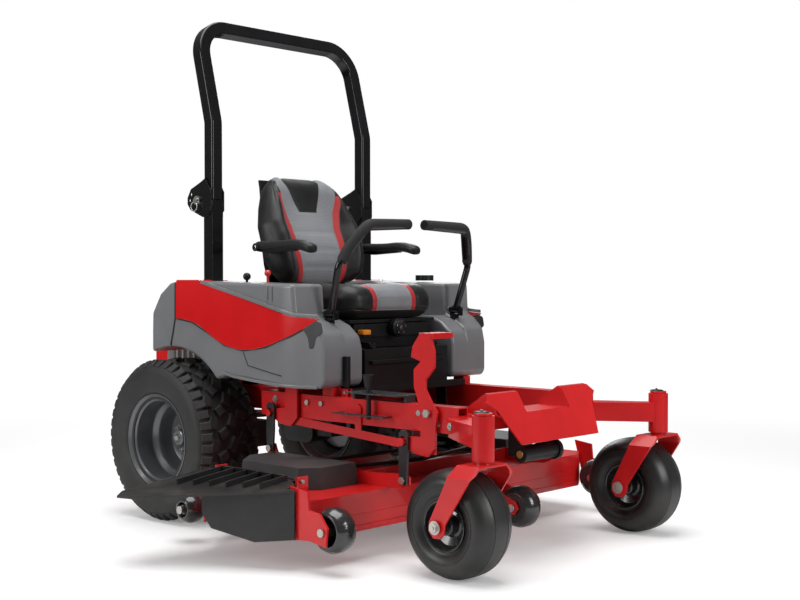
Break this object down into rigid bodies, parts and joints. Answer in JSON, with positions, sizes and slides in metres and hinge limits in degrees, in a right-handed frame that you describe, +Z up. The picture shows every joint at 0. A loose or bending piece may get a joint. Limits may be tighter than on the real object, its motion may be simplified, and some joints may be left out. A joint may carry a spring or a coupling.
{
  "type": "zero turn mower",
  "caption": "Ride-on zero turn mower with a folding roll bar, sprung seat, lap bar levers, wide drive tyres, front casters and a lifting three-blade deck with a side chute.",
  "frame": {"origin": "middle of the whole machine on the ground", "axes": "+X forward, +Y to the operator's left, +Z up"},
  "size_m": [2.081, 1.8536, 1.8739],
  "materials": {
    "red_paint": "gloss red powder coat",
    "black_paint": "satin black powder coat",
    "grey_plastic": "textured grey moulding",
    "red_plastic": "gloss red moulding",
    "black_plastic": "textured black moulding",
    "dark_metal": "satin dark grey",
    "zinc": "zinc plated steel",
    "aluminium": "cast aluminium",
    "silver_paint": "silver grey paint",
    "rubber": "matt black rubber",
    "tyre": "matt black tyre rubber",
    "vinyl": "matt black vinyl",
    "belt": "worn belt rubber"
  },
  "bodies": {
    "chassis": {"main_frame": "red_paint", "front_guard": "red_paint", "foot_platform": "red_paint", "height_plates": "black_paint", "seat_console": "black_plastic", "fenders_and_tank": "grey_plastic", "fender_panels": "red_plastic", "rops_posts": "black_paint", "chassis_bolts": "zinc", "engine_block": "aluminium", "engine_covers": "black_plastic", "muffler": "dark_metal", "transaxles": "dark_metal", "front_isolator": "rubber"},
    "deck": {"deck_shell": "red_paint", "belt_covers": "black_plastic", "spindle_housings": "dark_metal", "deck_belt": "belt", "deck_bolts": "zinc"},
    "front_cranks": {"lift_pedal": "red_paint"},
    "rear_cranks": {"rear_lift_shaft": "red_paint"},
    "lift_rods": {"lift_rods": "red_paint"},
    "front_hangers": {"front_hangers": "dark_metal"},
    "rear_hangers": {"rear_hangers": "dark_metal"},
    "discharge_chute": {"discharge_chute": "black_plastic"},
    "drive_wheel_left": {"drive_tyre_left": "tyre", "drive_rim_left": "silver_paint"},
    "drive_wheel_right": {"drive_tyre_right": "tyre", "drive_rim_right": "silver_paint"},
    "seat_base": {"seat_base": "black_plastic"},
    "seat_carriage": {"seat_carriage": "black_plastic"},
    "seat": {"seat_shell": "black_plastic", "seat_cushion": "vinyl", "seat_backrest": "vinyl"},
    "caster_fork_left": {"caster_fork_left": "red_paint"},
    "caster_fork_right": {"caster_fork_right": "red_paint"},
    "caster_wheel_left": {"caster_wheel_left": "tyre"},
    "caster_wheel_right": {"caster_wheel_right": "tyre"},
    "blade_center": {"blade_center": "zinc"},
    "blade_left": {"blade_left": "zinc"},
    "blade_right": {"blade_right": "zinc"},
    "roller_front_center": {"roller_front_center": "black_plastic"},
    "roller_front_left": {"roller_front_left": "black_plastic"},
    "roller_front_right": {"roller_front_right": "black_plastic"},
    "roller_rear_left": {"roller_rear_left": "black_plastic"},
    "roller_rear_right": {"roller_rear_right": "black_plastic"},
    "armrest_left": {"armrest_left": "vinyl"},
    "armrest_right": {"armrest_right": "vinyl"},
    "seat_knob": {"seat_knob": "black_plastic"},
    "seat_tab": {"seat_tab": "red_plastic"},
    "rops_hoop": {"rops_hoop": "black_paint"},
    "lever_base_left": {"lever_base_left": "dark_metal"},
    "lever_base_right": {"lever_base_right": "dark_metal"},
    "control_lever_left": {"control_lever_left": "black_paint"},
    "control_lever_right": {"control_lever_right": "black_paint"},
    "brake_lever": {"brake_lever": "black_plastic"},
    "throttle_lever": {"throttle_lever": "black_plastic"},
    "choke_lever": {"choke_lever": "red_plastic"},
    "fuel_cap": {"fuel_cap": "black_plastic"},
    "height_pin": {"height_pin": "black_plastic"}
  },
  "joints": [
    {"name": "drive_wheel_left_spin", "type": "hinge", "parent": "chassis", "child": "drive_wheel_left", "pos_m": [-0.52555, 0.58176, 0.301], "axis": [0, 1, 0], "continuous": true},
    {"name": "drive_wheel_right_spin", "type": "hinge", "parent": "chassis", "child": "drive_wheel_right", "pos_m": [-0.52555, -0.27824, 0.301], "axis": [0, 1, 0], "continuous": true},
    {"name": "caster_left_swivel", "type": "hinge", "parent": "chassis", "child": "caster_fork_left", "pos_m": [0.96875, 0.64266, 0.43], "axis": [0, 0, 1], "continuous": true},
    {"name": "caster_left_spin", "type": "hinge", "parent": "caster_fork_left", "child": "caster_wheel_left", "pos_m": [0.87385, 0.64266, 0.1667], "axis": [0, 1, 0], "continuous": true},
    {"name": "caster_right_swivel", "type": "hinge", "parent": "chassis", "child": "caster_fork_right", "pos_m": [0.96875, -0.33914, 0.43], "axis": [0, 0, 1], "continuous": true},
    {"name": "caster_right_spin", "type": "hinge", "parent": "caster_fork_right", "child": "caster_wheel_right", "pos_m": [0.87385, -0.33914, 0.1667], "axis": [0, 1, 0], "continuous": true},
    {"name": "deck_height", "type": "slide", "parent": "chassis", "child": "deck", "axis": [0, 0, 1], "range_m": [-0.03, 0.045]},
    {"name": "front_crank_turn", "type": "hinge", "parent": "chassis", "child": "front_cranks", "pos_m": [0.66745, 0.15176, 0.474], "axis": [0, 1, 0], "range_deg": [-15.48, 23.21]},
    {"name": "rear_crank_turn", "type": "hinge", "parent": "chassis", "child": "rear_cranks", "pos_m": [0.03045, 0.15176, 0.522], "axis": [0, 1, 0], "range_deg": [-15.48, 23.21]},
    {"name": "lift_rod_turn", "type": "hinge", "parent": "rear_cranks", "child": "lift_rods", "pos_m": [0.03345, 0.15176, 0.404], "axis": [0, 1, 0], "range_deg": [-23.21, 15.48]},
    {"name": "front_hanger_turn", "type": "hinge", "parent": "deck", "child": "front_hangers", "pos_m": [0.56745, 0.15176, 0.251], "axis": [0, 1, 0], "range_deg": [-15.48, 10.32]},
    {"name": "rear_hanger_turn", "type": "hinge", "parent": "deck", "child": "rear_hangers", "pos_m": [-0.06955, 0.15176, 0.299], "axis": [0, 1, 0], "range_deg": [-15.48, 10.32]},
    {"name": "chute_lift", "type": "hinge", "parent": "deck", "child": "discharge_chute", "pos_m": [0.17445, -0.53124, 0.262], "axis": [-1, 0, 0], "range_deg": [0, 95]},
    {"name": "blade_center_spin", "type": "hinge", "parent": "deck", "child": "blade_center", "pos_m": [0.22545, 0.15176, 0.121], "axis": [0, 0, 1], "continuous": true},
    {"name": "blade_left_spin", "type": "hinge", "parent": "deck", "child": "blade_left", "pos_m": [0.11545, 0.64676, 0.121], "axis": [0, 0, 1], "continuous": true},
    {"name": "blade_right_spin", "type": "hinge", "parent": "deck", "child": "blade_right", "pos_m": [0.11545, -0.34324, 0.121], "axis": [0, 0, 1], "continuous": true},
    {"name": "roller_front_center_spin", "type": "hinge", "parent": "deck", "child": "roller_front_center", "pos_m": [0.73645, 0.15176, 0.135], "axis": [0, 1, 0], "continuous": true},
    {"name": "roller_front_left_spin", "type": "hinge", "parent": "deck", "child": "roller_front_left", "pos_m": [0.56845, 0.86376, 0.135], "axis": [0, 1, 0], "continuous": true},
    {"name": "roller_rear_left_spin", "type": "hinge", "parent": "deck", "child": "roller_rear_left", "pos_m": [-0.14055, 0.85176, 0.115], "axis": [0, 1, 0], "continuous": true},
    {"name": "roller_front_right_spin", "type": "hinge", "parent": "deck", "child": "roller_front_right", "pos_m": [0.56845, -0.56024, 0.135], "axis": [0, 1, 0], "continuous": true},
    {"name": "roller_rear_right_spin", "type": "hinge", "parent": "deck", "child": "roller_rear_right", "pos_m": [-0.14055, -0.54824, 0.115], "axis": [0, 1, 0], "continuous": true},
    {"name": "seat_tilt", "type": "hinge", "parent": "chassis", "child": "seat_base", "pos_m": [0.19845, 0.15176, 0.662], "axis": [0, 1, 0], "range_deg": [0, 20]},
    {"name": "seat_suspension", "type": "slide", "parent": "seat_base", "child": "seat_carriage", "axis": [0, 0, 1], "range_m": [0, 0.025]},
    {"name": "seat_slide", "type": "slide", "parent": "seat_carriage", "child": "seat", "axis": [1, 0, 0], "range_m": [-0.09, 0]},
    {"name": "armrest_left_lift", "type": "hinge", "parent": "seat", "child": "armrest_left", "pos_m": [-0.25755, 0.42976, 1.018], "axis": [0, -1, 0], "range_deg": [0, 90]},
    {"name": "armrest_right_lift", "type": "hinge", "parent": "seat", "child": "armrest_right", "pos_m": [-0.25755, -0.12624, 1.018], "axis": [0, -1, 0], "range_deg": [0, 90]},
    {"name": "seat_knob_turn", "type": "hinge", "parent": "seat_carriage", "child": "seat_knob", "pos_m": [0.17445, 0.15176, 0.722], "axis": [1, 0, 0], "range_deg": [-135, 135]},
    {"name": "seat_tab_pull", "type": "slide", "parent": "seat_carriage", "child": "seat_tab", "axis": [1, 0, 0], "range_m": [0, 0.012], "stiffness_N_per_m": 300, "springref_m": -0.001},
    {"name": "rops_fold", "type": "hinge", "parent": "chassis", "child": "rops_hoop", "pos_m": [-0.43755, 0.15176, 1.189], "axis": [0, -1, 0], "range_deg": [0, 100]},
    {"name": "lever_left_drive", "type": "hinge", "parent": "chassis", "child": "lever_base_left", "pos_m": [0.16445, 0.48676, 0.64], "axis": [0, 1, 0], "range_deg": [-12, 12]},
    {"name": "lever_left_swing_out", "type": "hinge", "parent": "lever_base_left", "child": "control_lever_left", "pos_m": [0.16445, 0.48676, 0.781], "axis": [-1, 0, 0], "range_deg": [0, 28]},
    {"name": "lever_right_drive", "type": "hinge", "parent": "chassis", "child": "lever_base_right", "pos_m": [0.16445, -0.18324, 0.64], "axis": [0, 1, 0], "range_deg": [-12, 12]},
    {"name": "lever_right_swing_out", "type": "hinge", "parent": "lever_base_right", "child": "control_lever_right", "pos_m": [0.16445, -0.18324, 0.781], "axis": [1, 0, 0], "range_deg": [0, 28]},
    {"name": "brake_lever_turn", "type": "hinge", "parent": "chassis", "child": "brake_lever", "pos_m": [0.24945, -0.18624, 0.512], "axis": [0, 1, 0], "range_deg": [0, 35]},
    {"name": "throttle_turn", "type": "hinge", "parent": "chassis", "child": "throttle_lever", "pos_m": [-0.19555, -0.24824, 0.854], "axis": [0, 1, 0], "range_deg": [-18, 18]},
    {"name": "choke_turn", "type": "hinge", "parent": "chassis", "child": "choke_lever", "pos_m": [-0.10555, -0.22824, 0.854], "axis": [0, 1, 0], "range_deg": [-15, 15]},
    {"name": "fuel_cap_turn", "type": "hinge", "parent": "chassis", "child": "fuel_cap", "pos_m": [-0.04555, 0.55176, 0.9], "axis": [0, 0, 1], "range_deg": [0, 90]},
    {"name": "height_pin_pull", "type": "slide", "parent": "chassis", "child": "height_pin", "axis": [0, 0, 1], "range_m": [0, 0.12]}
  ],
  "couplings": [
    {"joint": "front_crank_turn", "follows": "deck_height", "rad_per_m": 9},
    {"joint": "rear_crank_turn", "follows": "deck_height", "rad_per_m": 9},
    {"joint": "lift_rod_turn", "follows": "deck_height", "rad_per_m": -9},
    {"joint": "front_hanger_turn", "follows": "deck_height", "rad_per_m": -6},
    {"joint": "rear_hanger_turn", "follows": "deck_height", "rad_per_m": -6},
    {"joint": "blade_left_spin", "follows": "blade_center_spin", "ratio": 1},
    {"joint": "blade_right_spin", "follows": "blade_center_spin", "ratio": 1}
  ]
}
